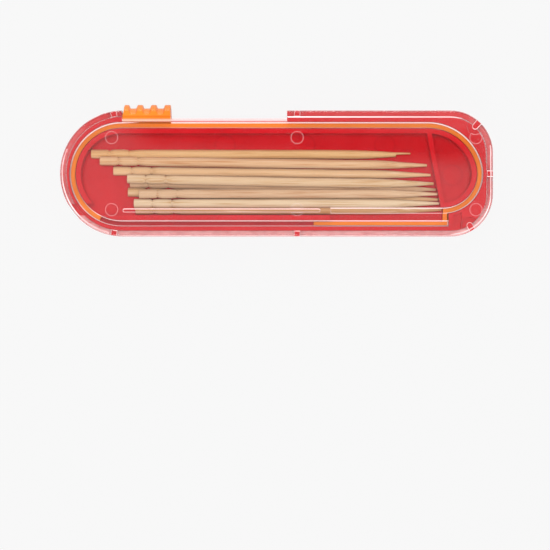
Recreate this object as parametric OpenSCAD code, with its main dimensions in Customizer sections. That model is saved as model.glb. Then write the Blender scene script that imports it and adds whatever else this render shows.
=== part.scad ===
// Pocket toothpick dispenser: a red tray under a clear cover. An orange slider with a flexible
// band runs in a track round the magazine. Pushing its button right pulls a shutter back from
// the exit and drives the lowest toothpick out of the round left end.
// Origin: middle of the tray's back. +X to the square end, +Y to the button, +Z to the cover.

/* [Case] */
// Room in the case beyond a toothpick's length
end_room = 25; // [24.5:0.1:30]
// Width of the case across the flats
case_w = 26.2; // [25.6:0.1:30]
// Thickness of the closed case
case_t = 7.6; // [7.4:0.1:10]
// Radius of the two corners at the square end
corner_r = 8.8; // [7.5:0.1:9.5]

/* [Tray] */
// Thickness of the tray's floor
floor_t = 1.5; // [1.2:0.1:1.7]
// Wall between the magazine and the track
wall_t = 1; // [0.8:0.05:1.1]
// Thickness of the flange that the cover's skirt stands on
flange_t = 0.8; // [0.5:0.05:1]
// Distance of the flange's edge in from the outline
flange_inset = 0.12; // [0.1:0.01:0.3]
// Wall between the track and the corner reliefs
relief_wall = 0.5; // [0.4:0.05:0.6]
// Depth of the corner reliefs under the rim
relief_depth = 1.6; // [1.2:0.1:2]
// Angle on the upper right bend where the relief leaves it, straight for the case's edge
relief_angle = 68; // [62:1:72]
// Land between the lower track's closed end and the lower relief
relief_land = 1; // [0.8:0.1:1.4]
// Left face of the stop rib, left of the upper right bend's centre, at the top of the magazine
rib_setback = 0.2; // [0:0.05:0.5]
// Lean of the stop rib: run along X for each mm down the magazine
rib_lean = 0.186; // [0.15:0.002:0.2]
// Thickness of the stop rib
rib_t = 1; // [0.8:0.1:1.2]
// Depth of the round ejector marks
mark_depth = 0.06; // [0.04:0.01:0.1]
// Diameter of the tray's ejector marks
tray_mark_d = 4.5; // [3.5:0.1:5]
// Distance of the first ejector mark from the left bend's centre
tray_mark_start = 21.4; // [18:0.1:24]
// Distance between the ejector marks along the magazine
tray_mark_pitch = 16.8; // [14:0.1:18]

/* [Cover] */
// Thickness of the clear plate
plate_t = 1.4; // [1.2:0.05:1.5]
// Thickness of the skirt round the tray
skirt_t = 1.2; // [1.1:0.05:1.3]
// Rounding of the plate's outer edge
edge_r = 0.6; // [0.3:0.05:0.9]
// Clearance between cover and tray
cover_gap = 0.1; // [0.08:0.01:0.15]
// How far the plate's edge lies in from the outline in the slider's window
window_inset = 1.65; // [1.5:0.05:1.75]
// Left end of the window, from the left outline centre
window_shift = 0.2; // [0:0.05:0.4]
// Play of the button in the window beyond its stroke
window_play = 0.75; // [0.1:0.05:1]
// Width of the rib that keeps the loose toothpicks out of the ejection groove
separator_t = 0.8; // [0.6:0.05:1]
// Length of that rib
separator_l = 41.3; // [38:0.1:42]
// Diameter of the cover's ejector rings
cover_mark_d = 2.7; // [2.2:0.1:3.2]
// Distance of the ejector rings from the middle line
cover_mark_y = 7.5; // [7:0.1:8]
// Distance of the outer ejector rings in from the two ends
cover_mark_ends = [10.7, 3.5];

/* [Pins] */
// Diameter of the locating pins
pin_d = 1.1; // [0.9:0.05:1.2]
// Clearance round a pin in its slot
pin_gap = 0.1; // [0.08:0.01:0.15]
// Distance of the pin centres in from the outline
pin_inset = 1.2; // [1.1:0.05:1.3]
// Top of the pins under the plate
pin_drop = 0.7; // [0.5:0.1:1]
// Radius of the clear bosses round the two corner pins
boss_r = 1.66; // [1.4:0.02:1.8]
// Length of the clear bosses
boss_l = 1.3; // [0.8:0.1:1.5]

/* [Track] */
// Width of the track that the band runs in
track_w = 1.4; // [1.3:0.05:1.5]
// Distance of the upper track in from the outline
track_top_inset = 3; // [2.9:0.05:3.2]
// Distance of the lower track in from the outline
track_low_inset = 2.75; // [2.7:0.05:2.9]
// Distance of the left bend in from the round end
track_left_inset = 2.55; // [2.5:0.05:2.8]
// Distance of the right bend in from the square end
track_right_inset = 2.6; // [2.5:0.05:2.8]
// How much tighter than a half circle the right bend is at the bottom
bend_tighter = 1.2; // [0.8:0.05:1.4]
// How much wider than a half circle the right bend is at the top
bend_wider = 2.1; // [1.6:0.05:2.4]
// Height of the return track above the lower track
return_rise = 2.65; // [2.4:0.05:2.8]

/* [Slider] */
// Thickness of the band
band_t = 0.95; // [0.8:0.05:1.05]
// Height of the band
band_h = 2; // [1.8:0.05:2.1]
// Running gap under and over the band
slide_gap = 0.15; // [0.1:0.01:0.2]
// Stroke of the slider
travel = 23.5; // [20:0.1:23.5]
// Length of the button
button_l = 10; // [9:0.1:11]
// Height of the button, across the case's thickness
button_t = 6; // [5.5:0.1:6.2]
// How far the button's ridges stand out of the case
button_out = 1.4; // [1:0.1:2]
// Radius of the button's crown
crown_r = 3.75; // [3.5:0.05:5]
// Number of ridges on the button
ridges = 4; // [3:1:5]
// Width of a ridge
ridge_w = 1.45; // [1.2:0.05:1.6]
// Height of a ridge
ridge_h = 0.75; // [0.5:0.05:0.9]
// Gap between the button and the left end of its window
stop_gap = 0.05; // [0.04:0.01:0.2]
// Thickness of the pusher block along X
block_t = 1; // [0.8:0.05:1.2]
// Pusher's rest position, right of the lower right bend's centre
block_rest = 0.05; // [0:0.05:0.3]
// Length of the guide strip in the lower track
guide_l = 28; // [24:0.5:30]
// Thickness of the guide strip
guide_t = 0.75; // [0.6:0.05:0.9]
// Angle on the left bend where the tail ends at rest
tail_end = 243.6; // [238:0.2:246]
// Arc of the tail's stiff tip, which covers the exit
tip_span = 20; // [16:0.5:21]

/* [Toothpicks] */
// Nominal length of a toothpick, which sets the length of the case
pick_l = 65; // [60:0.5:80]
// Diameter of a toothpick
pick_d = 1.9; // [1.8:0.05:1.95]
// Diameter of a toothpick's tip
pick_tip_d = 0.45; // [0.3:0.05:0.6]
// Length of the pointed end
pick_taper = 14; // [11:0.5:16]
// First decorative groove from the blunt end
pick_groove_1 = 3.8; // [3.2:0.1:4.5]
// Second decorative groove from the blunt end
pick_groove_2 = 8; // [7:0.1:9]
// Depth of the decorative grooves
pick_groove_depth = 0.2; // [0.1:0.02:0.3]
// How much shorter than nominal the next toothpick is
next_short = 1; // [1:0.1:3]
// Clearance beside the driven toothpick
pick_play = 0.25; // [0.2:0.01:0.3]

/* [Hidden] */
$fn = 96;

case_l = pick_l + end_room;
far = case_l;
cut = 1;
joint_gap = 0.05;

// Outline of the case
half_l = case_l / 2;
half_w = case_w / 2;
end_x = half_w - half_l;
corner_x = half_l - corner_r;
corner_y = half_w - corner_r;
tray_inset = skirt_t + cover_gap;

// Levels above the back
skirt_z = flange_t + cover_gap;
plate_z = case_t - plate_t;
rim_z = plate_z - cover_gap;
band_z = floor_t + slide_gap;
band_top = band_z + band_h;
tongue_z = band_top + slide_gap;
pin_top = plate_z - pin_drop;
relief_z = rim_z - relief_depth;
mid_z = case_t / 2;

// Track centre lines
track_top = half_w - track_top_inset;
track_low = track_low_inset - half_w;
track_return = track_low + return_rise;
left_r = (track_top - track_low) / 2;
left_x = track_left_inset + left_r - half_l;
left_y = (track_top + track_low) / 2;
half_rise = (track_top - track_return) / 2;
right_r = half_rise - bend_tighter;
right_x = half_l - track_right_inset - right_r;
right_y = track_return + right_r;
upper_r = half_rise + bend_wider;
upper_y = track_top - upper_r;
turn_angle = asin((bend_wider - bend_tighter) / (upper_r - right_r));
turn_y = right_y + right_r * sin(turn_angle);
upper_x = right_x - (upper_r - right_r) * cos(turn_angle);
tongue_w = track_w - 2 * cover_gap;
land_edge = track_w / 2 + relief_wall;

// Pusher
block_x = right_x + block_rest;
return_end = block_x - travel - cover_gap;
low_end = block_x + block_t + cover_gap;
block_low = track_low - guide_t / 2;
block_high = track_return + band_t / 2;

// Band: angle of the pusher's right face on the right bend, arc of the run behind it, end gaps
block_angle = -acos((block_rest + block_t) / right_r);
return_span = 12;
gap_angle = joint_gap / right_r * 180 / PI;
tail_gap_angle = joint_gap / left_r * 180 / PI;

// Magazine
mag_r = left_r - track_w / 2 - wall_t;
mag_top = left_y + mag_r;
mag_low = left_y - mag_r;
rib_top_x = upper_x - rib_setback;
next_y = mag_low + pick_play + pick_d / 2;
exit_w = pick_d + 2 * pick_play;

// Slider's window in the skirt
window_x = end_x - window_shift;
window_l = button_l + travel + stop_gap + window_play;
window_edge = half_w - window_inset;
button_x = window_x + stop_gap;
button_y = half_w - tray_inset + 2 * cover_gap;
ridge_pitch = (button_l - ridge_w) / (ridges - 1);
next_l = pick_l - next_short;

// Locating pins: centre of the arc they lie on, its radius and their angle on it
end_pin_angle = 99;
corner_pin_angles = [47, -58];
window_pin_gap = 2.1;
mid_pin_x = window_x + window_l + window_pin_gap;
pin_reach = pin_inset - 3 * cover_gap;

// Loose toothpicks: height up the magazine and level above the floor, both in diameters,
// then length over nominal, lean in degrees and the gap between tip and stop rib
PICKS = [
    [6.17, 0.53, 1.9, -0.12, 4.05],
    [5.38, 1.22, 3.35, -0.8, 1.1],
    [4.32, 0.53, 1.5, -0.8, 0.6],
    [3.38, 1.84, -1.1, -0.95, 0.5],
    [2.94, 0.8, -1, -1.2, 0.15],
    [1.97, 0.53, -0.05, -1.4, 0.06],
    [1.72, 1.55, -2.7, 0, 0.06],
    [0.69, 1.32, -1.25, 0, 0.06]];

function rib_x(y) = rib_top_x + (mag_top - y) * rib_lean;

// Case outline, in from the outer edge by inset
module outline(inset) {
    translate([end_x, 0]) circle(half_w - inset);
    translate([end_x, inset - half_w]) square([corner_x - end_x, case_w - 2 * inset]);
    for (side = [-1, 1])
        translate([corner_x, side * corner_y]) circle(corner_r - inset);
    translate([corner_x, -corner_y]) square([corner_r - inset, 2 * corner_y]);
}

// Section of the cover's edge: height along Y, reach along X, outer top edge rounded
module edge_section(reach, height) {
    square([reach - edge_r, height]);
    square([reach, height - edge_r]);
    translate([reach - edge_r, height - edge_r]) circle(edge_r);
}

// The cover's solid outer form, with its top edge rounded
module cover_form() {
    height = case_t - skirt_z;
    translate([0, 0, skirt_z]) {
        translate([end_x, 0, 0]) rotate([0, 0, 90])
            rotate_extrude(angle = 180) edge_section(half_w, height);
        for (side = [0, 1])
            translate([end_x, 0, 0]) mirror([0, side, 0]) rotate([90, 0, 90])
                linear_extrude(corner_x - end_x) edge_section(half_w, height);
        for (side = [0, 1]) mirror([0, side, 0]) translate([corner_x, corner_y, 0])
            rotate_extrude(angle = 90) edge_section(corner_r, height);
        translate([corner_x, corner_y, 0]) rotate([90, 0, 0])
            linear_extrude(2 * corner_y) edge_section(corner_r, height);
    }
}

// Inside of the left bend, out from its centre line by reach
module inside_left_bend(reach) {
    intersection() {
        translate([left_x, left_y]) circle(left_r + reach);
        translate([left_x, -far]) mirror([1, 0]) square([far, 2 * far]);
    }
}

// Inside of the right bend, out from its centre line by reach: wide above turn_y, tight below it
module inside_right_bend(reach) {
    low = track_return - reach;
    intersection() {
        translate([upper_x, upper_y]) circle(upper_r + reach);
        translate([upper_x, turn_y]) square(far);
    }
    intersection() {
        translate([right_x, right_y]) circle(right_r + reach);
        translate([right_x, turn_y]) mirror([0, 1]) square(far);
    }
    polygon([[upper_x, turn_y], [right_x, turn_y], [right_x, low], [upper_x, low]]);
}

// The right bend of the track, w wide, with the return track below the upper arc
module right_bend(w) {
    difference() {
        inside_right_bend(w / 2);
        inside_right_bend(-w / 2);
    }
}

// Straight stretch of the track between two x values
module stretch(x0, x1, y, w) {
    translate([x0, y - w / 2]) square([x1 - x0, w]);
}

// The whole track, w wide, its two open ends in by trim
module track(w, trim) {
    difference() {
        inside_left_bend(w / 2);
        inside_left_bend(-w / 2);
    }
    right_bend(w);
    stretch(left_x, upper_x, track_top, w);
    stretch(return_end + trim, upper_x, track_return, w);
    stretch(left_x, low_end - trim, track_low, w);
}

// Magazine, from the round end to the stop rib
module magazine() {
    inside_left_bend(mag_r - left_r);
    throat = track_return + track_w / 2;
    polygon([[left_x, mag_top], [rib_top_x, mag_top], [rib_x(throat), throat],
        [rib_x(throat), mag_low], [left_x, mag_low]]);
}

// D-shaped pocket behind the stop rib
module end_pocket() {
    inset = track_w / 2 + wall_t;
    low = track_return + inset;
    intersection() {
        inside_right_bend(-inset);
        polygon([[rib_top_x + rib_t, mag_top], [rib_x(low) + rib_t, low], [far, low], [far, mag_top]]);
    }
}

// Relief in the upper square corner: outside the bend's wall, then straight to the case's edge
module upper_relief() {
    translate([upper_x, upper_y]) rotate(relief_angle)
        translate([upper_r + land_edge - cover_gap / 2, 0]) square(far);
    difference() {
        intersection() {
            translate([upper_x, upper_y]) rotate(relief_angle - 90) square(far);
            translate([upper_x, turn_y]) square(far);
        }
        inside_right_bend(land_edge);
    }
}

// Relief in the lower square corner, from the track's closed end to the corner pin's boss
module lower_relief() {
    start = low_end + relief_land;
    difference() {
        translate([start, -far]) square([right_x + right_r / 2 - start, far + right_y]);
        translate([right_x, right_y]) circle(right_r + land_edge);
        at_corner_pins() circle(boss_r + 2 * cover_gap);
    }
}

// Places each child at every locating pin, turned so that +X points out of the case
module at_pins() {
    for (angle = [end_pin_angle, -end_pin_angle])
        translate([end_x, 0]) rotate(angle) translate([half_w - pin_inset, 0]) children();
    for (side = [-1, 1])
        translate([mid_pin_x, side * (half_w - pin_inset)]) rotate(side * 90) children();
    at_corner_pins() children();
    translate([half_l - pin_inset, 0]) children();
}

// Places each child at the two corner pins
module at_corner_pins() {
    for (i = [0, 1])
        translate([corner_x, (1 - 2 * i) * corner_y]) rotate(corner_pin_angles[i])
            translate([corner_r - pin_inset, 0]) children();
}

// Outline of a locating pin or its slot: round inside, running outward by reach
module pin_outline(d, reach) {
    circle(d = d);
    translate([0, -d / 2]) square([reach, d]);
}

module base_tray() {
    color("firebrick") difference() {
        union() {
            linear_extrude(rim_z) outline(tray_inset);
            linear_extrude(flange_t) outline(flange_inset);
            linear_extrude(pin_top) at_pins() pin_outline(pin_d, pin_reach);
        }
        translate([window_x, half_w - tray_inset, -cut]) cube([window_l, far, far]);
        translate([0, 0, floor_t]) linear_extrude(case_t) {
            track(track_w, 0);
            magazine();
            end_pocket();
            translate([return_end, track_low - track_w / 2])
                square([low_end - return_end, return_rise + track_w]);
            translate([-far, next_y - exit_w / 2]) square([far + left_x, exit_w]);
            translate([window_x, track_top]) square([window_l, far]);
        }
        difference() {
            translate([0, 0, relief_z]) linear_extrude(case_t) {
                upper_relief();
                lower_relief();
                at_corner_pins() circle(boss_r + cover_gap);
            }
            linear_extrude(pin_top) at_corner_pins() pin_outline(pin_d, pin_reach);
        }
        for (i = [0:2])
            translate([left_x + tray_mark_start + i * tray_mark_pitch, mag_top - tray_mark_d / 2,
                floor_t - mark_depth]) cylinder(d = tray_mark_d, h = cut);
        translate([right_x + tray_mark_d / 2, left_y, floor_t - mark_depth])
            cylinder(d = tray_mark_d, h = cut);
    }
}

module clear_cover() {
    rounded = separator_t / 2;
    separator_x = window_x + rounded;
    separator_y = next_y - rounded / 2;
    color("aliceblue", 0.3) difference() {
        union() {
            difference() {
                cover_form();
                linear_extrude(plate_z) outline(skirt_t);
                for (x = [cover_mark_ends[0] - half_l, mid_pin_x, half_l - cover_mark_ends[1]], side = [-1, 1])
                    translate([x, side * cover_mark_y, plate_z - cut])
                        cylinder(d = cover_mark_d, h = cut + mark_depth);
            }
            translate([0, 0, tongue_z]) linear_extrude(plate_z - tongue_z + cut / 2) {
                track(tongue_w, cover_gap);
                translate([separator_x, separator_y - rounded]) square([separator_l - separator_t, separator_t]);
                for (x = [separator_x, separator_x + separator_l - separator_t])
                    translate([x, separator_y]) circle(rounded);
            }
            translate([0, 0, plate_z - boss_l]) linear_extrude(boss_l + cut / 2) intersection() {
                at_corner_pins() circle(boss_r);
                outline(cover_gap);
            }
        }
        translate([window_x, window_edge, -cut]) cube([window_l, far, far]);
        translate([0, 0, -cut]) linear_extrude(pin_top + cover_gap + cut)
            at_pins() pin_outline(pin_d + 2 * pin_gap, far);
        translate([-far, next_y - exit_w / 2, -cut])
            cube([far + left_x, exit_w, tongue_z + cut]);
    }
}

// Crowned bar along X that stands out of the case by out
module crowned_bar(out, length) {
    rotate([90, 0, 90]) linear_extrude(length) intersection() {
        translate([half_w + out - crown_r, mid_z]) circle(crown_r);
        translate([button_y, mid_z - button_t / 2]) square([far, button_t]);
    }
}

module slider_button() {
    neck_y = track_top + band_t / 2 + joint_gap;
    tongue_y = track_top + tongue_w / 2 + 2 * cover_gap;
    color("darkorange") translate([button_x, 0, 0]) {
        crowned_bar(button_out - ridge_h, button_l);
        for (i = [0:ridges - 1])
            translate([i * ridge_pitch, 0, 0]) crowned_bar(button_out, ridge_w);
        translate([0, neck_y, band_z]) cube([button_l, button_y - neck_y + cut / 2, band_h]);
        translate([0, tongue_y, band_z]) cube([button_l, button_y - tongue_y + cut / 2, rim_z - band_z]);
    }
}

// Band piece round one bend, between two angles
module band_arc(x, y, r, from, to) {
    translate([x, y, band_z]) rotate([0, 0, from]) rotate_extrude(angle = to - from)
        translate([r - band_t / 2, 0]) square([band_t, band_h]);
}

module band_top_run() {
    color("darkorange") translate([left_x + joint_gap, track_top - band_t / 2, band_z])
        cube([upper_x - left_x - 2 * joint_gap, band_t, band_h]);
}

module band_right_bend() {
    start = block_angle + 3 * gap_angle + return_span;
    color("darkorange") translate([0, 0, band_z]) linear_extrude(band_h) difference() {
        right_bend(band_t);
        translate([right_x, right_y]) rotate(start) mirror([0, 1]) square(far);
    }
}

module band_return_run() {
    start = block_angle + 2 * gap_angle;
    color("darkorange") band_arc(right_x, right_y, right_r, start, start + return_span);
}

module band_tail_arc() {
    color("darkorange") band_arc(left_x, left_y, left_r, 90, tail_end - tip_span - tail_gap_angle);
}

module shutter_tip() {
    color("darkorange") band_arc(left_x, left_y, left_r, tail_end - tip_span, tail_end);
}

module pusher_block() {
    color("darkorange") translate([block_x, block_low, band_z])
        cube([block_t, block_high - block_low, band_h]);
}

module guide_strip() {
    color("darkorange") translate([block_x + block_t - guide_l, block_low, band_z])
        cube([guide_l - block_t, guide_t, band_h]);
}

// Toothpick along +X from its blunt end at the origin
module toothpick(length) {
    r = pick_d / 2;
    waist = r - pick_groove_depth;
    nick = 0.25;
    edge = 0.12;
    shoulder = length - pick_taper;
    rotate([0, 90, 0]) rotate_extrude() polygon([
        [0, 0], [r - edge, 0], [r, edge],
        [r, pick_groove_1 - nick], [waist, pick_groove_1], [r, pick_groove_1 + nick],
        [r, pick_groove_2 - nick], [waist, pick_groove_2], [r, pick_groove_2 + nick],
        [r, shoulder], [r * 0.86, shoulder + pick_taper * 0.4], [r * 0.58, shoulder + pick_taper * 0.75],
        [pick_tip_d / 2, length], [0, length]]);
}

// Loose toothpick number i, its tip at its gap from the stop rib
module loose_toothpick(i) {
    pick = PICKS[i];
    length = pick_l + pick[2];
    y = next_y + pick[0] * pick_d;
    tip_y = y + length * sin(pick[3]);
    tip_x = rib_x(tip_y) - pick[4];
    color("burlywood") translate([tip_x - length * cos(pick[3]), y, floor_t + pick[1] * pick_d])
        rotate([0, 0, pick[3]]) toothpick(length);
}

module next_toothpick() {
    color("burlywood") translate([block_x - pick_play - next_l, next_y, floor_t + slide_gap + pick_d / 2])
        toothpick(next_l);
}

base_tray();
clear_cover();
slider_button();
band_top_run();
band_right_bend();
band_return_run();
band_tail_arc();
shutter_tip();
pusher_block();
guide_strip();
loose_toothpick(0);  // toothpick_1
loose_toothpick(1);  // toothpick_2
loose_toothpick(2);  // toothpick_3
loose_toothpick(3);  // toothpick_4
loose_toothpick(4);  // toothpick_5
loose_toothpick(5);  // toothpick_6
loose_toothpick(6);  // toothpick_7
loose_toothpick(7);  // toothpick_8
next_toothpick();
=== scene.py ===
# Pocket toothpick dispenser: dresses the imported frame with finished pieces, materials, light and camera.
import math
import random
import bpy
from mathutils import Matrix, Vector


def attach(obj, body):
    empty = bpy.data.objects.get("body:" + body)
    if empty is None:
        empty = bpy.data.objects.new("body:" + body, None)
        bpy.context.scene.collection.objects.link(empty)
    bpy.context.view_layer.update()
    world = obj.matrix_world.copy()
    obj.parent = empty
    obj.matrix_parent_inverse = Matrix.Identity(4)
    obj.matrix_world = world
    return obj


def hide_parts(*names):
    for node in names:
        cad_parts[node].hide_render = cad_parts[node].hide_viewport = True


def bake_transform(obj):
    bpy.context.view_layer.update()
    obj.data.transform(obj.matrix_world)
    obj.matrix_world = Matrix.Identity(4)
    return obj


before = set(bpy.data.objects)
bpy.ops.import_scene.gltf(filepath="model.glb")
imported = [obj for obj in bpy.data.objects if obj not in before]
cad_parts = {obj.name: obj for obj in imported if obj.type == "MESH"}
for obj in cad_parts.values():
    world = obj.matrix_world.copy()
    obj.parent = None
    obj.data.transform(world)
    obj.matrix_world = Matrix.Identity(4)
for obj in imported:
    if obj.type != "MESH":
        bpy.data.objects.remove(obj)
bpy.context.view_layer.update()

mm = 0.001


def same(a, b, nearly=0.02):
    # whether two measures in millimetres count as equal
    return abs(a - b) < nearly


def linear(hexColour):
    values = [int(hexColour[i:i + 2], 16) / 255 for i in (1, 3, 5)]
    return [v / 12.92 if v <= 0.04045 else ((v + 0.055) / 1.055) ** 2.4 for v in values] + [1]


def addNode(tree, kind, settings=None, **links):
    # settings may name a property or an input; each link gives an input its source socket
    node = tree.nodes.new(kind)
    for name, value in (settings or {}).items():
        if name in node.inputs:
            node.inputs[name].default_value = value
        else:
            setattr(node, name, value)
    for name, source in links.items():
        tree.links.new(source, node.inputs[name.replace("_", " ")])
    return node


def calculate(tree, operation, *sources):
    # math node, whose inputs all have one name and so are linked in their order
    node = addNode(tree, "ShaderNodeMath", {"operation": operation})
    for source, socket in zip(sources, node.inputs):
        tree.links.new(source, socket)
    return node.outputs["Value"]


def newMaterial(name):
    material = bpy.data.materials.new(name)
    material.use_nodes = True
    return material, material.node_tree, material.node_tree.nodes["Principled BSDF"]


def noiseIn(tree, size, stretch=(1, 1, 1), detail=3, seed=0.0):
    # noise whose lumps are about size millimetres, drawn out along an axis by stretch
    place = addNode(tree, "ShaderNodeTexCoord").outputs["Object"]
    spread = addNode(tree, "ShaderNodeMapping", {"Scale": [1 / (size * mm * s) for s in stretch],
                                                 "Location": (seed, seed * 1.7, seed * 0.6)}, Vector=place)
    return addNode(tree, "ShaderNodeTexNoise", {"Scale": 1, "Detail": detail}, Vector=spread.outputs["Vector"])


def ramp(tree, source, stops):
    node = addNode(tree, "ShaderNodeValToRGB", Fac=source)
    while len(node.color_ramp.elements) < len(stops):
        node.color_ramp.elements.new(0.5)
    for element, (place, colour) in zip(node.color_ramp.elements, stops):
        element.position = place
        element.color = linear(colour) if isinstance(colour, str) else (colour, colour, colour, 1)
    return node.outputs["Color"]


def onlySelect(piece):
    bpy.ops.object.select_all(action="DESELECT")
    piece.select_set(True)
    bpy.context.view_layer.objects.active = piece


def editMode(on, kind="VERT"):
    bpy.ops.object.mode_set(mode="EDIT" if on else "OBJECT")
    if on:
        bpy.ops.mesh.select_mode(type=kind)


def copyCad(node, name):
    # a CAD mesh is loose triangles, so the copy is merged and its flat faces joined
    piece = bpy.data.objects.new(name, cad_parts[node].data.copy())
    bpy.context.scene.collection.objects.link(piece)
    onlySelect(piece)
    bpy.ops.mesh.customdata_custom_splitnormals_clear()
    editMode(True)
    bpy.ops.mesh.select_all(action="SELECT")
    bpy.ops.mesh.remove_doubles(threshold=0.002 * mm)
    bpy.ops.mesh.dissolve_limited(angle_limit=math.radians(0.2))
    editMode(False)
    piece.data.materials.clear()
    return piece


def bevelWhere(piece, where, width, segments, material=0, angle=30, clamp=True):
    # rounds the sharp edges whose two ends, in millimetres, pass the test
    onlySelect(piece)
    editMode(True, "EDGE")
    bpy.ops.mesh.select_all(action="DESELECT")
    bpy.ops.mesh.edges_select_sharp(sharpness=math.radians(angle))
    editMode(False)
    mesh = piece.data
    for part in (mesh.vertices, mesh.polygons):
        part.foreach_set("select", [False] * len(part))
    chosen = 0
    for edge in mesh.edges:
        if edge.select:
            edge.select = where(*(mesh.vertices[i].co / mm for i in edge.vertices))
            chosen += edge.select
    editMode(True, "EDGE")
    if chosen:
        bpy.ops.mesh.bevel(offset=width * mm, segments=segments, clamp_overlap=clamp, material=material)
    editMode(False)
    return chosen


def smooth(piece, angle=40):
    # flat faces keep their own normals, and only the roundings between them are shaded over
    onlySelect(piece)
    bpy.ops.object.shade_smooth_by_angle(angle=math.radians(angle))
    bpy.ops.object.modifier_add(type="WEIGHTED_NORMAL")
    piece.modifiers[-1].keep_sharp = True
    bpy.ops.object.modifier_apply(modifier=piece.modifiers[-1].name)


def chooseFaces(piece, test):
    # opens a piece for editing with only the faces selected that pass the test
    onlySelect(piece)
    editMode(True, "FACE")
    bpy.ops.mesh.select_all(action="DESELECT")
    editMode(False)
    for face in piece.data.polygons:
        face.select = test(face)
    chosen = sum(face.select for face in piece.data.polygons)
    editMode(True, "FACE")
    return chosen


def cut(piece, test, where, normal):
    # cuts the faces that pass the test along a plane
    chosen = chooseFaces(piece, test)
    bpy.ops.mesh.bisect(plane_co=[v * mm for v in where], plane_no=normal)
    editMode(False)
    return chosen


def ringFaces(piece, z, width, material):
    # lays a narrow ring round the rim of each flat face at height z
    def flatThere(face):
        return abs(face.normal.z) > 0.99 and same(face.center.z / mm, z, 0.01)

    chosen = chooseFaces(piece, flatThere)
    bpy.ops.mesh.inset(thickness=width * mm)
    editMode(False)
    for face in piece.data.polygons:
        if len(face.vertices) == 4 and flatThere(face):
            face.material_index = material
    return chosen


def dress(piece, *materials):
    piece.data.materials.clear()
    for material in materials:
        piece.data.materials.append(material)


def place(piece, body, slot, *nodes):
    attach(piece, body)
    finish(piece, slot, *nodes)


def finish(piece, slot, *nodes):
    if nodes:
        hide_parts(*nodes)


# camera straight above, as in the photograph, with its angle of view in degrees
view = {"place": (-0.31, -21.1, 470), "angle": 14.08, "nearest": 0.01}
# table lit all over, 4 metres wide, and lamps: x, y, z, width, height and power, and whether gloss shows them
studio = {"world": 0.39, "paper": "#3C3C3C", "paperGlow": 0.863, "floorSize": 4, "floorDrop": 0.02,
          "softbox": (0, 10, 620, 220, 220, 3.6, False), "key": (0, 420, 300, 240, 240, 0.4, True),
          "fill": (-60, -420, 220, 240, 240, 0.4, True), "strip": (-60, 420, 34, 300, 34, 0.3, True)}
# the dark gap between the softboxes that the plate mirrors: where its four sides fade, its turn in degrees,
# and how much deeper the card is than the gap
gap = {"height": 900, "left": (-106, -74), "right": (104, 132), "near": (47, 60), "far": (76, 66), "turn": -3,
       "spare": 20, "felt": (0.004, 0.004, 0.004, 1)}

print("camera and light")
cameraData = bpy.data.cameras.new("camera")
cameraData.angle = math.radians(view["angle"])
cameraData.clip_start = view["nearest"]
cameraObject = bpy.data.objects.new("camera", cameraData)
cameraObject.location = [v * mm for v in view["place"]]
bpy.context.scene.collection.objects.link(cameraObject)
bpy.context.scene.camera = cameraObject
bpy.context.scene.view_settings.view_transform = "Standard"

world = bpy.data.worlds.new("studio")
bpy.context.scene.world = world
world.use_nodes = True
world.node_tree.nodes["Background"].inputs["Color"].default_value = (1, 1, 1, 1)
world.node_tree.nodes["Background"].inputs["Strength"].default_value = studio["world"]

for name in ("softbox", "key", "fill", "strip"):
    x, y, z, wide, high, power, inGloss = studio[name]
    lamp = bpy.data.lights.new(name, "AREA")
    lamp.shape = "RECTANGLE"
    lamp.size = wide * mm
    lamp.size_y = high * mm
    lamp.energy = power
    lampObject = bpy.data.objects.new(name, lamp)
    lampObject.location = (x * mm, y * mm, z * mm)
    lampObject.visible_glossy = inGloss
    lampObject.visible_transmission = inGloss
    lampObject.rotation_euler = (-lampObject.location).to_track_quat("-Z", "Y").to_euler()
    bpy.context.scene.collection.objects.link(lampObject)

bpy.ops.object.select_all(action="DESELECT")
bpy.ops.mesh.primitive_plane_add(size=studio["floorSize"])
floor = bpy.context.object
floor.name = "floor"
floor.location.z = -studio["floorDrop"] * mm
# light table under matt paper: its own glow nearly hides shadows, and from below it is see-through
paper, tree, shader = newMaterial("matt paper on a light table")
shader.inputs["Base Color"].default_value = linear(studio["paper"])
shader.inputs["Roughness"].default_value = 0.9
shader.inputs["Emission Color"].default_value = (1, 1, 1, 1)
shader.inputs["Emission Strength"].default_value = studio["paperGlow"]
oneSided = addNode(tree, "ShaderNodeMapRange", {"To Min": 1, "To Max": 0},
                   Value=addNode(tree, "ShaderNodeNewGeometry").outputs["Backfacing"])
tree.links.new(oneSided.outputs["Result"], shader.inputs["Alpha"])
# sampled as a lamp, the glow would leave a step in tone along the plane's diagonal
paper.cycles.emission_sampling = "NONE"
dress(floor, paper)

bpy.ops.mesh.primitive_plane_add(size=1)
card = bpy.context.object
card.name = "dark_gap"
card.scale = ((gap["right"][1] - gap["left"][0]) * mm, (gap["far"][0] - gap["near"][0] + gap["spare"]) * mm, 1)
card.location = ((gap["left"][0] + gap["right"][1]) / 2 * mm, (gap["near"][0] + gap["far"][0]) / 2 * mm,
                 gap["height"] * mm)
bpy.ops.object.transform_apply()
card.visible_camera = False
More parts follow.
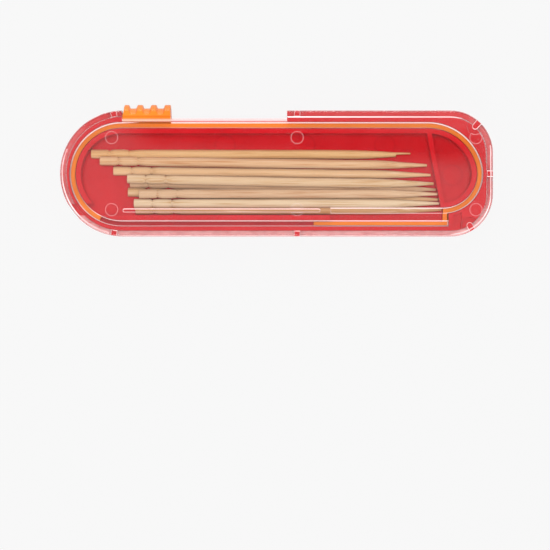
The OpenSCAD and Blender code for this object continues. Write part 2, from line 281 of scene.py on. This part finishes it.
# black felt that thins out at its four sides
felt, tree, shader = newMaterial("black felt")
shader.inputs["Base Color"].default_value = gap["felt"]
shader.inputs["Roughness"].default_value = 1
turned = addNode(tree, "ShaderNodeMapping", {"Rotation": (0, 0, math.radians(-gap["turn"]))},
                 Vector=addNode(tree, "ShaderNodeTexCoord").outputs["Object"])
across = addNode(tree, "ShaderNodeSeparateXYZ", Vector=turned.outputs["Vector"])
sides = []
fades = (("X", gap["left"]), ("X", gap["right"][::-1]), ("Y", gap["near"]), ("Y", gap["far"]))
for axis, (start, full) in fades:
    fade = addNode(tree, "ShaderNodeMapRange", {"interpolation_type": "SMOOTHSTEP", "From Min": start * mm,
                                                "From Max": full * mm}, Value=across.outputs[axis])
    sides.append(fade.outputs["Result"])
thick = sides[0]
for side in sides[1:]:
    thick = calculate(tree, "MULTIPLY", thick, side)
tree.links.new(thick, shader.inputs["Alpha"])
dress(card, felt)

print("materials")


def redPolystyrene(name, dark, light):
    # injection-moulded polystyrene: strong colour, even gloss, faint unevenness from the mould
    material, tree, shader = newMaterial(name)
    lumps = noiseIn(tree, 6)
    colour = ramp(tree, lumps.outputs["Fac"], [(0.3, dark), (0.7, light)])
    tree.links.new(colour, shader.inputs["Base Color"])
    grain = noiseIn(tree, 0.5, detail=2)
    sheen = ramp(tree, grain.outputs["Fac"], [(0.3, 0.04), (0.7, 0.09)])
    tree.links.new(sheen, shader.inputs["Roughness"])
    bump = addNode(tree, "ShaderNodeBump", {"Strength": 0.08, "Distance": 0.01 * mm}, Height=grain.outputs["Fac"])
    tree.links.new(bump.outputs["Normal"], shader.inputs["Normal"])
    shader.inputs["IOR"].default_value = 1.59
    return material


def lampsPass(tree, shader):
    # lamps and the light of nearby surfaces go straight through clear polystyrene
    rays = addNode(tree, "ShaderNodeLightPath")
    passing = calculate(tree, "MAXIMUM", rays.outputs["Is Shadow Ray"], rays.outputs["Is Diffuse Ray"])
    through = addNode(tree, "ShaderNodeBsdfTransparent", {"Color": (0.98, 0.98, 0.98, 1)})
    mix = addNode(tree, "ShaderNodeMixShader", Fac=passing)
    tree.links.new(shader.outputs[0], mix.inputs[1])
    tree.links.new(through.outputs[0], mix.inputs[2])
    tree.links.new(mix.outputs[0], tree.nodes["Material Output"].inputs["Surface"])


def clearPolystyrene():
    material, tree, shader = newMaterial("clear moulded polystyrene")
    shader.inputs["Base Color"].default_value = linear("#FFFFFF")
    shader.inputs["IOR"].default_value = 1.59
    shader.inputs["Transmission Weight"].default_value = 1
    flow = noiseIn(tree, 4, detail=1)
    gloss = ramp(tree, flow.outputs["Fac"], [(0.3, 0.01), (0.7, 0.03)])
    tree.links.new(gloss, shader.inputs["Roughness"])
    lampsPass(tree, shader)
    return material


def litEdge(name, alpha, glow, patches=False):
    # edge of clear polystyrene, a stand-in for the light that the plate guides there: strongest where its
    # surface points to -Y, weaker to +Y and faintest round the two ends; with patches it varies from place
    # to place instead
    material, tree, shader = newMaterial(name)
    shader.inputs["Base Color"].default_value = linear("#FFE2E2")
    shader.inputs["Roughness"].default_value = 0.4
    shader.inputs["Emission Color"].default_value = linear("#FFE2E2")
    facing = addNode(tree, "ShaderNodeSeparateXYZ",
                     Vector=addNode(tree, "ShaderNodeNewGeometry").outputs["True Normal"]).outputs["Y"]
    turn = addNode(tree, "ShaderNodeMapRange", {"From Min": -1}, Value=facing).outputs["Result"]
    if patches:
        turn = addNode(tree, "ShaderNodeMapRange",
                       {"From Min": 0.35, "From Max": 0.6, "To Min": 0.5, "To Max": 0.8},
                       Value=noiseIn(tree, 2.5, detail=1, seed=3).outputs["Fac"]).outputs["Result"]
    for socket, full, least in (("Alpha", alpha, 0.42), ("Emission Strength", glow, 0.3)):
        share = ramp(tree, turn, [(0.2, full), (0.48, full * least), (0.52, full * least), (0.8, full * 0.7)])
        tree.links.new(share, shader.inputs[socket])
    lampsPass(tree, shader)
    return material


# painted light on the skirt's foot: where it turns greyer, in millimetres, and how much it greys there; also its
# streaks and painted glow
footLook = {"ends": (38, 43.5), "endShare": 0.08, "sides": (-12, -4), "sideShares": (0.36, 0.04),
            "streaks": (0.75, 1.2), "glow": 0.3}


def footWithPaintedLight():
    # foot of the skirt, left matt by the mould; the grey that it lays over what lies under it, most at the two
    # ends, is painted light, and so is its faint glow
    material, tree, shader = newMaterial("matt foot of clear polystyrene with painted light")
    shader.inputs["Base Color"].default_value = linear("#FFF2F0")
    shader.inputs["Roughness"].default_value = 0.6
    at = addNode(tree, "ShaderNodeSeparateXYZ", Vector=addNode(tree, "ShaderNodeTexCoord").outputs["Object"])
    ends = addNode(tree, "ShaderNodeMapRange",
                   {"interpolation_type": "SMOOTHSTEP", "From Min": footLook["ends"][0] * mm,
                    "From Max": footLook["ends"][1] * mm, "To Max": footLook["endShare"]},
                   Value=calculate(tree, "ABSOLUTE", at.outputs["X"]))
    sides = addNode(tree, "ShaderNodeMapRange",
                    {"From Min": footLook["sides"][0] * mm, "From Max": footLook["sides"][1] * mm,
                     "To Min": footLook["sideShares"][0], "To Max": footLook["sideShares"][1]},
                    Value=at.outputs["Y"])
    streaks = addNode(tree, "ShaderNodeMapRange",
                      {"From Min": 0.3, "From Max": 0.7, "To Min": footLook["streaks"][0],
                       "To Max": footLook["streaks"][1]},
                      Value=noiseIn(tree, 0.5, stretch=(4, 1, 1)).outputs["Fac"])
    total = calculate(tree, "ADD", ends.outputs["Result"], sides.outputs["Result"])
    uneven = calculate(tree, "MULTIPLY", total, streaks.outputs["Result"])
    tree.links.new(uneven, shader.inputs["Alpha"])
    # the foot's faint glow is painted light
    shader.inputs["Emission Color"].default_value = linear("#FFE0DC")
    shader.inputs["Emission Strength"].default_value = footLook["glow"]
    lampsPass(tree, shader)
    return material


def orangePolypropylene():
    # flexible polypropylene: satin, a little waxy
    material, tree, shader = newMaterial("orange moulded polypropylene")
    lumps = noiseIn(tree, 5)
    colour = ramp(tree, lumps.outputs["Fac"], [(0.3, "#E87A1E"), (0.7, "#EE8424")])
    tree.links.new(colour, shader.inputs["Base Color"])
    grain = noiseIn(tree, 0.4, detail=2)
    bump = addNode(tree, "ShaderNodeBump", {"Strength": 0.2, "Distance": 0.015 * mm}, Height=grain.outputs["Fac"])
    tree.links.new(bump.outputs["Normal"], shader.inputs["Normal"])
    shader.inputs["Roughness"].default_value = 0.35
    shader.inputs["IOR"].default_value = 1.49
    return material


def bamboo(number, light, dark):
    # split and turned bamboo: straight fibres along the stick, a little paler and darker by turns
    material, tree, shader = newMaterial("bamboo %d" % number)
    fibres = noiseIn(tree, 0.2, stretch=(70, 1, 1), detail=5, seed=number * 3.1)
    patches = noiseIn(tree, 2.2, stretch=(6, 0.6, 0.6), detail=2, seed=number * 7.7)
    both = addNode(tree, "ShaderNodeMix", {"Factor": 0.35})
    tree.links.new(fibres.outputs["Fac"], both.inputs["A"])
    tree.links.new(patches.outputs["Fac"], both.inputs["B"])
    colour = ramp(tree, both.outputs["Result"], [(0.36, dark), (0.48, light), (0.58, light), (0.7, "#E8CCAC")])
    tree.links.new(colour, shader.inputs["Base Color"])
    bump = addNode(tree, "ShaderNodeBump", {"Strength": 0.5, "Distance": 0.03 * mm}, Height=fibres.outputs["Fac"])
    tree.links.new(bump.outputs["Normal"], shader.inputs["Normal"])
    shader.inputs["Roughness"].default_value = 0.55
    return material


red = redPolystyrene("red moulded polystyrene", "#C0131B", "#CA1A23")
# darker red, painted shade along the rim of each ejector mark in the tray
redShadedRing = redPolystyrene("red polystyrene painted in shade round an ejector mark", "#B2111A", "#BC1820")
clear = clearPolystyrene()
orange = orangePolypropylene()
lineEdge = litEdge("lit edge of clear polystyrene", 0.9, 0.75)
ringEdge = litEdge("lit rim of an ejector mark", 0.6, 0.4)
endEdge = litEdge("lit rounding of clear polystyrene", 0.75, 0.35, True)
windowLine = litEdge("lit edge of the window", 1, 0)
foot = footWithPaintedLight()

trayMake = {"edge": 0.09, "edgesAbove": 0.2, "markTop": 1.44, "markRing": 0.28}
print("tray")
tray = copyCad("base_tray", "tray")
dress(tray, red, redShadedRing)
# the ring round each ejector mark's floor takes the darker red: painted shade at the mark's edge
print("ejector marks", ringFaces(tray, trayMake["markTop"], trayMake["markRing"], material=1))
bevelWhere(tray, lambda a, b: min(a.z, b.z) > trayMake["markTop"] + trayMake["edgesAbove"], trayMake["edge"], 2)
smooth(tray)
place(tray, "case", "tray_plastic", "base_tray")

# heights and edges of the cover, then the places that look different
coverMake = {"foot": 0.9, "ribTip": 3.8, "slotTop": 5.6, "underside": 6.2, "ringTop": 6.26, "top": 7.6,
             "ribEdge": 0.15, "slotEdge": 0.13, "rootEdge": 0.25, "windowEdge": 0.65, "ringWidth": 0.14,
             "rootFrom": (0, 7), "stripEnds": (-35, 36), "stripTop": (5, 6), "stripSlope": (2, 27),
             "stripAbove": 7, "windowY": 11.45, "lineFrom": (-21.9, 6.9), "outerLineY": 10.4, "inside": 1.6,
             "roundEnd": (-31.9, 0), "halfWidth": 13.1}
coverSlots = {"line": 1, "ring": 2, "foot": 3, "end": 4, "window": 5}
print("cover")


def level(z):
    # both ends at one height
    return lambda a, b: same(a.z, z) and same(b.z, z)


def atWindow(a, b):
    return same(a.y, coverMake["windowY"]) and same(b.y, coverMake["windowY"])


def within(a):
    # how far a place lies in from the outline, along the straight sides and the round end
    x, y = coverMake["roundEnd"]
    return coverMake["halfWidth"] - (math.hypot(a.x - x, a.y - y) if a.x < x else abs(a.y))


def besideButton(p):
    # the tongue's outer edge along the button mirrors its orange, so it shows no white line
    return p.y > coverMake["outerLineY"] \
        and coverMake["roundEnd"][0] - 0.5 < p.x < coverMake["lineFrom"][0] + 0.01


def ribTip(a, b):
    return level(coverMake["ribTip"])(a, b) and within(a) > coverMake["inside"] \
        and not (besideButton(a) and besideButton(b))


def windowEdge(a, b):
    return level(coverMake["top"])(a, b) and atWindow(a, b)


def skirtRoot(a, b):
    # where the plate's underside meets the skirt
    return level(coverMake["underside"])(a, b) and within(a) < coverMake["inside"] and not atWindow(a, b)


def brightRoot(a, b):
    return skirtRoot(a, b) and min(a.x, b.x) > coverMake["rootFrom"][0] \
        and min(a.y, b.y) > coverMake["rootFrom"][1]


def edgeStrip(face):
    # inner part of the rounding round the plate, where it catches the light at the two ends
    x, y = face.center.x / mm, face.center.y / mm
    tilt = math.degrees(math.acos(max(-1, min(1, face.normal.z))))
    atEnd = x < coverMake["stripEnds"][0] and y < coverMake["stripTop"][0] or \
        x > coverMake["stripEnds"][1] and y < coverMake["stripTop"][1]
    return atEnd and face.center.z / mm > coverMake["stripAbove"] \
        and coverMake["stripSlope"][0] < tilt < coverMake["stripSlope"][1]


def tongueSide(face):
    # sides of the tongue, on the button's half of the cover
    return coverMake["ribTip"] - 0.02 < face.center.z / mm < coverMake["underside"] - 0.02 \
        and within(face.center / mm) > coverMake["inside"] and face.center.y > 0


def windowSlope(face):
    return face.normal.y > 0.7 and face.normal.z > 0.1 \
        and same(face.center.y / mm, coverMake["windowY"], coverMake["windowEdge"])


cover = copyCad("clear_cover", "cover")
dress(cover, clear, lineEdge, ringEdge, foot, endEdge, windowLine)
for face in cover.data.polygons:
    if face.normal.z < -0.9 and same(face.center.z / mm, coverMake["foot"]):
        face.material_index = coverSlots["foot"]
print("ejector rings", ringFaces(cover, coverMake["ringTop"], coverMake["ringWidth"], coverSlots["ring"]))
print("tongue", cut(cover, tongueSide, (coverMake["lineFrom"][0], 0, 0), (1, 0, 0)))
print("rib edges", bevelWhere(cover, ribTip, coverMake["ribEdge"], 2, coverSlots["line"]))
print("slot edges", bevelWhere(cover, level(coverMake["slotTop"]), coverMake["slotEdge"], 2, coverSlots["line"],
                               clamp=False))
print("skirt root", bevelWhere(cover, brightRoot, coverMake["rootEdge"], 2, coverSlots["line"], clamp=False))
for face in cover.data.polygons:
    if edgeStrip(face):
        face.material_index = coverSlots["end"]
# the plate's edge along the window slopes, and a broad pale line is painted on it as a highlight
for v in cover.data.vertices:
    if windowEdge(v.co / mm, v.co / mm):
        v.co.y -= coverMake["windowEdge"] * mm
cover.data.update()
cut(cover, windowSlope, (coverMake["lineFrom"][0], 0, 0), (1, 0, 0))
cut(cover, windowSlope, (0, 0, coverMake["lineFrom"][1]), (0, 0, 1))
for face in cover.data.polygons:
    if windowSlope(face):
        bright = face.center.x > coverMake["lineFrom"][0] * mm and face.center.z > coverMake["lineFrom"][1] * mm
        face.material_index = coverSlots["window" if bright else "ring"]
smooth(cover)
place(cover, "cover", "cover_plastic", "clear_cover")

# the slider's band: its section, and the bends that it runs round as x, y and radius
band = {"thick": 0.95, "high": 2, "low": 1.65, "corner": 0.12, "left": (-32.225, -0.125, 10.225),
        "upper": (31.5251, -0.9, 11), "lower": (34.7, 0, 7.7), "turn": 15.83, "steps": 36}
# its tail, by angles in degrees on the left bend
tail = {"end": 243.6, "blend": (238, 90), "steps": 90}
# the block that it pushes, with the guide strip, and where the band's lower end starts and is blended
pushed = {"x": (34.75, 35.75), "y": (-10.725, -7.225), "guide": 0.75, "reach": 27, "start": 35.65,
          "blend": (35.8, 36.3), "steps": (2, 40, 60)}


def onArc(bend, angle):
    x, y, radius = band[bend]
    return (x + radius * math.cos(math.radians(angle)), y + radius * math.sin(math.radians(angle)))


def startBand(name, bend, angle):
    # outline of the band's section, with rounded corners, standing across the track
    x, y = onArc(bend, angle)
    bpy.ops.object.select_all(action="DESELECT")
    bpy.ops.mesh.primitive_plane_add(size=mm, location=(x * mm, y * mm, (band["low"] + band["high"] / 2) * mm),
                                     rotation=(0, math.pi / 2, math.radians(angle - 90)))
    piece = bpy.context.object
    piece.name = name
    piece.scale = (band["high"], band["thick"], 1)
    bpy.ops.object.transform_apply()
    editMode(True)
    bpy.ops.mesh.select_all(action="SELECT")
    bpy.ops.mesh.bevel(offset=band["corner"] * mm, segments=2, affect="VERTICES")
    bpy.ops.mesh.select_all(action="SELECT")
    bpy.ops.mesh.delete(type="ONLY_FACE")
    bpy.ops.mesh.select_all(action="SELECT")
    return piece


def turnBand(bend, degrees, steps):
    # spin counts its angle clockwise
    x, y, radius = band[bend]
    bpy.ops.mesh.spin(steps=steps, angle=-math.radians(degrees), center=(x * mm, y * mm, 0), axis=(0, 0, 1))


def closeBand(piece):
    bpy.ops.mesh.select_all(action="SELECT")
    bpy.ops.mesh.fill_holes(sides=0)
    bpy.ops.mesh.select_all(action="SELECT")
    bpy.ops.mesh.normals_make_consistent(inside=False)
    editMode(False)
    dress(piece, orange)
    smooth(piece)


def xAngle(x):
    # angle on the lower right bend at which the band is at x
    bx, by, radius = band["lower"]
    return -math.degrees(math.acos((x - bx) / radius))


print("band")
tailBand = startBand("tail_band", "left", 90)
turnBand("left", tail["end"] - 90, tail["steps"])
closeBand(tailBand)
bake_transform(tailBand)
finish(tailBand, "slider_plastic", "shutter_tip", "band_tail_arc")

topBand = startBand("top_band", "left", 90)
straight = (band["upper"][0] - band["left"][0]) * mm
bpy.ops.mesh.extrude_region_move(TRANSFORM_OT_translate={"value": (straight, 0, 0)})
turnBand("upper", band["turn"] - 90, band["steps"])
closeBand(topBand)
place(topBand, "case", "slider_plastic", "band_top_run")

angles = [xAngle(x) for x in (pushed["start"], *pushed["blend"])] + [band["turn"]]
pushBand = startBand("push_band", "lower", angles[0])
for steps, first, last in zip(pushed["steps"], angles, angles[1:]):
    turnBand("lower", last - first, steps)
closeBand(pushBand)

bpy.ops.object.select_all(action="DESELECT")
bpy.ops.mesh.primitive_cube_add(size=1)
block = bpy.context.object
block.scale = [(pushed[a][1] - pushed[a][0]) * mm for a in "xy"] + [band["high"] * mm]
block.location = [sum(pushed[a]) / 2 * mm for a in "xy"] + [(band["low"] + band["high"] / 2) * mm]
bpy.ops.object.transform_apply()
editMode(True, "FACE")
bpy.ops.mesh.select_all(action="SELECT")
bpy.ops.mesh.bisect(plane_co=(0, (pushed["y"][0] + pushed["guide"]) * mm, 0), plane_no=(0, 1, 0))
editMode(False)
print("guide strip", chooseFaces(block, lambda face: face.normal.x < -0.5
                                 and face.center.y < (pushed["y"][0] + pushed["guide"]) * mm))
bpy.ops.mesh.extrude_region_move(TRANSFORM_OT_translate={"value": (-pushed["reach"] * mm, 0, 0)})
editMode(False)
bevelWhere(block, lambda a, b: True, band["corner"], 2)
dress(block, orange)
smooth(block)
bpy.ops.object.select_all(action="DESELECT")
block.select_set(True)
pushBand.select_set(True)
bpy.context.view_layer.objects.active = pushBand
bpy.ops.object.join()
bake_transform(pushBand)
finish(pushBand, "slider_plastic", "pusher_block", "guide_strip", "band_return_run", "band_right_bend")

buttonMake = {"left": -32.05, "pitch": 2.85, "width": 1.45, "ridges": 4, "outer": 12.2, "middle": (10, 3.8),
              "crown": 3.75, "high": 0.75, "near": 0.06, "topIn": 0.2, "leftIn": 0.3, "rightIn": 0.05,
              "footOut": 0.1, "ridgeEdge": 0.22}
print("button")
button = copyCad("slider_button", "button")
dress(button, orange)
# the ridges' ends become strips of triangles, which may slope
chooseFaces(button, lambda face: abs(face.normal.x) > 0.99 and face.center.y / mm > buttonMake["outer"])
bpy.ops.mesh.quads_convert_to_tris(quad_method="BEAUTY", ngon_method="BEAUTY")
editMode(False)
for v in button.data.vertices:
    x, y, z = v.co / mm
    out = y - buttonMake["middle"][0] - math.sqrt(buttonMake["crown"] ** 2 - (z - buttonMake["middle"][1]) ** 2)
    for ridge in range(buttonMake["ridges"]):
        for side in (0, 1):
            outerEnd = (ridge, side) in ((0, 0), (buttonMake["ridges"] - 1, 1))
            edge = buttonMake["left"] + ridge * buttonMake["pitch"] + side * buttonMake["width"]
            if same(x, edge) and y > buttonMake["outer"]:
                # ridges narrow towards their tops
                if same(out, buttonMake["high"], buttonMake["near"]):
                    end = "leftIn" if ridge + side == 0 else "rightIn" if outerEnd else "topIn"
                    v.co.x += (1 - 2 * side) * mm * buttonMake[end]
                elif same(out, 0, buttonMake["near"]) and not outerEnd:
                    v.co.x -= (1 - 2 * side) * buttonMake["footOut"] * mm
print("ridge edges", bevelWhere(button, lambda a, b: min(a.y, b.y) > buttonMake["outer"],
                                buttonMake["ridgeEdge"], 3))
smooth(button, 50)
place(button, "slider", "slider_plastic", "slider_button")

# turned stick, from its blunt end: distance and share of the radius, then the same back from the tip
stick = {"radius": 0.95, "sides": 20, "step": 4,
         "blunt": [(0, 0.9), (0.12, 0.99), (3.1, 0.99), (3.6, 0.92), (3.85, 0.72), (4.1, 0.88), (4.9, 1), (6.7, 1),
                   (7.7, 0.92), (7.98, 0.72), (8.3, 0.86), (9.6, 0.98), (11, 1)],
         "tip": [(14, 1), (12, 0.985), (10, 0.94), (8, 0.85), (6, 0.72), (4, 0.57), (3.02, 0.5), (2.98, 0.5),
                 (2, 0.42), (0.05, 0.29), (0, 0.24)]}
# how far a stick bows and ripples; the last two, which slide past each other, keep only a share of it
sway = {"bow": 0.12, "ripple": 0.035, "waves": 36, "draws": 40, "straightFrom": 7, "straightShare": 0.15}
# the split tip of the first stick: its length, the half width that it starts from, its middle and half width
split = {"back": 3, "from": 0.45, "middle": 0.2, "half": 0.27}
tones = [("#D8AC78", "#C0894F"), ("#D2A77E", "#B97D4C"), ("#DBB286", "#C19262"), ("#CFAD88", "#BA8B5B"),
         ("#C19B79", "#A87E5B"), ("#CEA77C", "#B48657"), ("#CBA582", "#B17B52"), ("#D4B897", "#BB9266"),
         ("#C49668", "#AC7648")]


def makeStick(name, length):
    bpy.ops.object.select_all(action="DESELECT")
    bpy.ops.mesh.primitive_circle_add(vertices=stick["sides"], radius=stick["radius"] * mm, fill_type="NOTHING",
                                      rotation=(0, math.pi / 2, 0))
    piece = bpy.context.object
    piece.name = name
    bpy.ops.object.transform_apply()
    stations = list(stick["blunt"])
    while stations[-1][0] + 1.5 * stick["step"] < length - stick["tip"][0][0]:
        stations.append((stations[-1][0] + stick["step"], 1))
    stations += [(length - back, share) for back, share in stick["tip"]]
    editMode(True)
    bpy.ops.mesh.select_all(action="SELECT")
    at, size = 0, 1
    for x, share in stations:
        if x > at:
            bpy.ops.mesh.extrude_region_move(TRANSFORM_OT_translate={"value": ((x - at) * mm, 0, 0)})
        bpy.ops.transform.resize(value=(1, share / size, share / size), center_override=(x * mm, 0, 0))
        at, size = x, share
    bpy.ops.mesh.select_all(action="SELECT")
    bpy.ops.mesh.fill_holes(sides=0)
    bpy.ops.mesh.select_all(action="SELECT")
    bpy.ops.mesh.normals_make_consistent(inside=False)
    editMode(False)
    return piece


def ends(node):
    # middle of the blunt end and of the tip of a CAD toothpick
    points = [v.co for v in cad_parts[node].data.vertices]
    result = []
    for x in (min(p.x for p in points), max(p.x for p in points)):
        near = [p for p in points if abs(p.x - x) < 0.06 * mm]
        result.append(sum((Vector(p) for p in near), Vector()) / len(near))
    return result


print("toothpicks")
for number in range(9):
    node = "toothpick_%d" % (number + 1) if number < 8 else "next_toothpick"
    blunt, tip = ends(node)
    random.seed(40 + number)
    piece = makeStick("stick_%d" % (number + 1), (tip - blunt).length / mm)
    loose = 1 if number < sway["straightFrom"] else sway["straightShare"]
    bow = random.uniform(-sway["bow"], sway["bow"]) * loose
    out = [random.uniform(-sway["ripple"], sway["ripple"]) * loose for i in range(sway["draws"])]
    length = (tip - blunt).length
    for v in piece.data.vertices:
        along = v.co.x / length
        at = along * sway["waves"]
        ripple = out[int(at)] * (1 - at % 1) + out[int(at) + 1] * (at % 1)
        if number == 0 and (1 - along) * length < split["back"] * mm:
            # the lower half of this stick's tip has split off
            v.co.y = (split["middle"] + max(-1, min(1, v.co.y / (split["from"] * mm))) * split["half"]) * mm
        v.co.y += (bow * math.sin(math.pi * along) + ripple) * mm
    direction = (tip - blunt).normalized()
    piece.rotation_euler = (0, 0, math.atan2(direction.y, direction.x))
    piece.location = blunt
    bpy.ops.object.transform_apply()
    dress(piece, bamboo(number + 1, *tones[number]))
    smooth(piece, 50)
    place(piece, "case" if number < 8 else "next_pick", "toothpick_wood", node)
